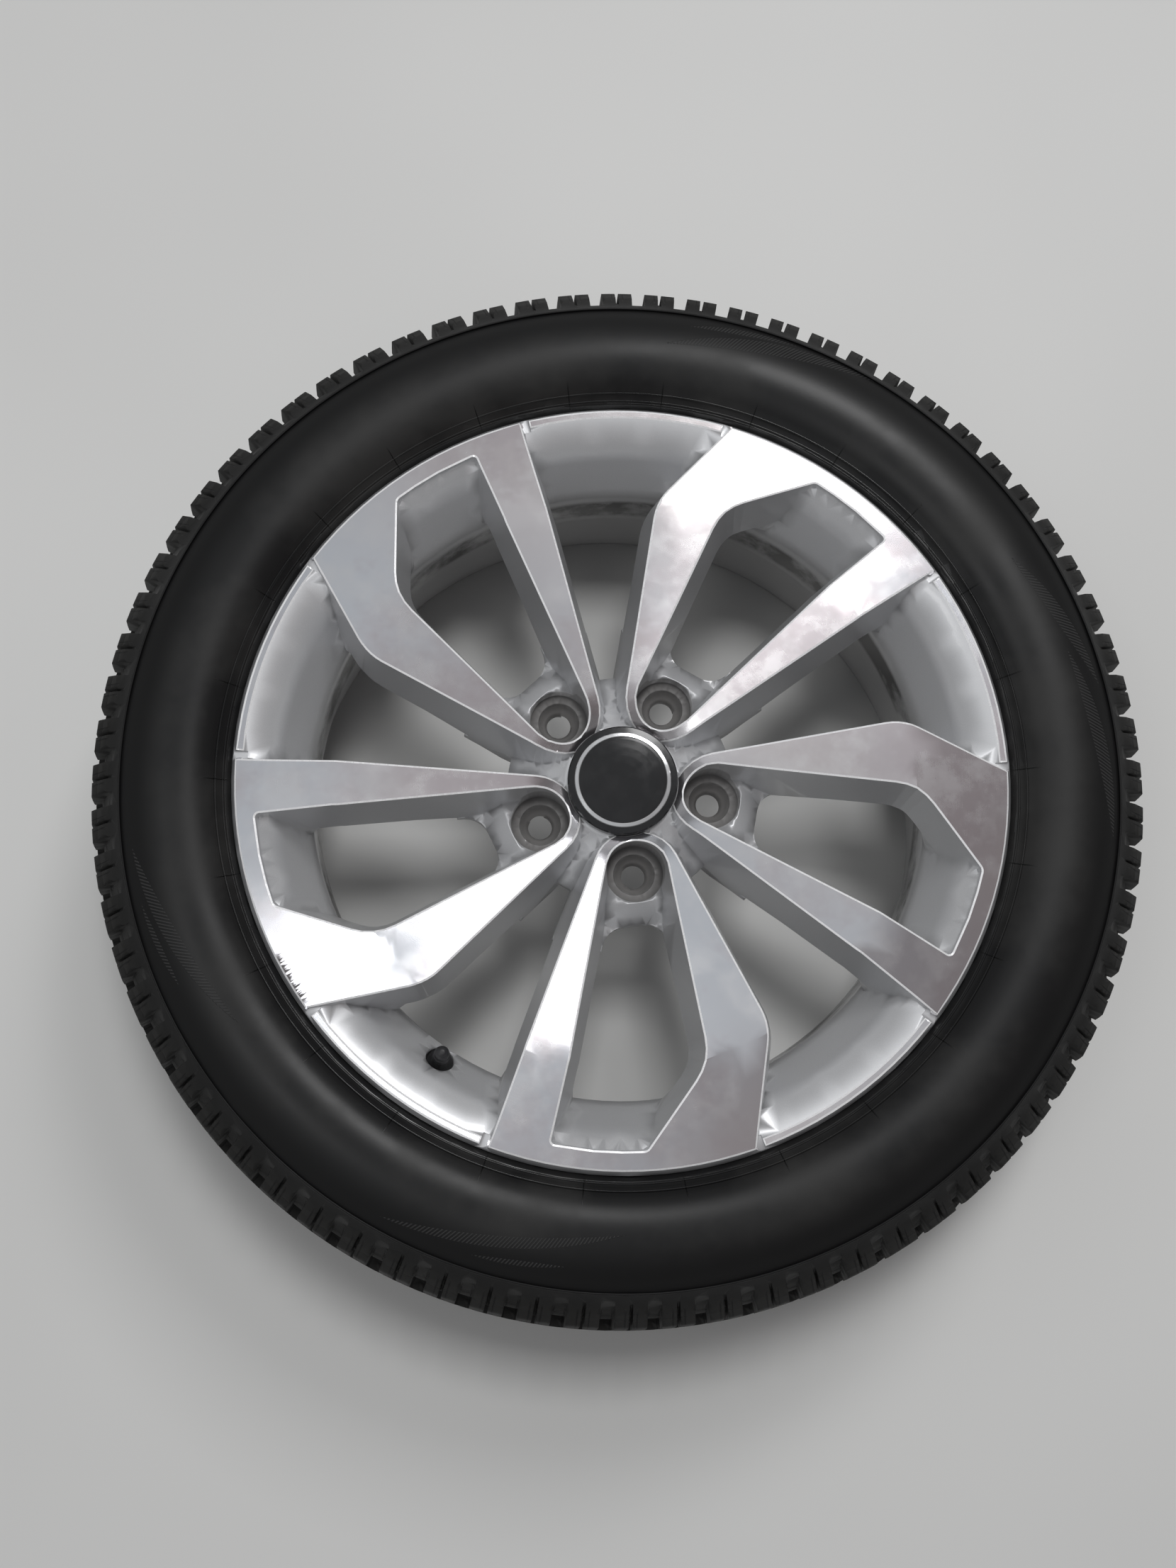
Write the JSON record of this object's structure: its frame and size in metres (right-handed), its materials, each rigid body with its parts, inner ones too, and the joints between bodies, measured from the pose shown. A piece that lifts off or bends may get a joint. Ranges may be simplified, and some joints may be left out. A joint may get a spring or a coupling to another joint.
{
  "type": "wheel and tyre assembly",
  "caption": "Cast alloy car wheel with kinked double spokes, a centre cap, a snap-in valve and a mounted tyre.",
  "frame": {"origin": "on the wheel's axis, in the plane of the rear sidewall that the wheel lies on", "axes": "+Z along the wheel's axis toward its outer face; one double spoke's bolt hole lies along -Y"},
  "size_m": [0.6593, 0.6594, 0.226],
  "materials": {
    "alloy": "diamond-cut face under clear lacquer, silver paint behind",
    "tyre_rubber": "matt black rubber",
    "cap_gloss": "gloss black",
    "bright_trim": "polished",
    "spring_steel": "plain",
    "valve_rubber": "matt",
    "brass": "dull",
    "seal": "matt",
    "cap_plastic": "slightly glossy"
  },
  "bodies": {
    "wheel": {"alloy_wheel": "alloy", "tyre": "tyre_rubber", "valve_body": "valve_rubber", "valve_stem": "brass", "core_body": "brass", "core_seal": "seal", "core_spring": "spring_steel"},
    "centre_cap": {"cap_body": "cap_gloss", "cap_trim_ring": "bright_trim", "cap_spring_ring": "spring_steel"},
    "core_plunger": {"core_pin": "brass"},
    "dust_cap_washer": {"valve_cap_seal": "valve_rubber"},
    "dust_cap": {"valve_cap": "cap_plastic"}
  },
  "joints": [
    {"name": "centre_cap_pull", "type": "slide", "parent": "wheel", "child": "centre_cap", "axis": [0, 0, 1], "range_m": [0, 0.028]},
    {"name": "valve_pin_press", "type": "slide", "parent": "wheel", "child": "core_plunger", "axis": [-0.1367, -0.1567, -0.9781], "range_m": [0, 0.0015], "stiffness_N_per_m": 600, "springref_m": -0.0015, "deforming": ["core_spring"]},
    {"name": "dust_cap_rise", "type": "slide", "parent": "wheel", "child": "dust_cap_washer", "axis": [0.1367, 0.1567, 0.9781], "range_m": [0, 0.00558]},
    {"name": "dust_cap_turn", "type": "hinge", "parent": "dust_cap_washer", "child": "dust_cap", "pos_m": [-0.13364, -0.1532, 0.1705], "axis": [0.1367, 0.1567, 0.9781], "range_deg": [0, 2520]}
  ]
}
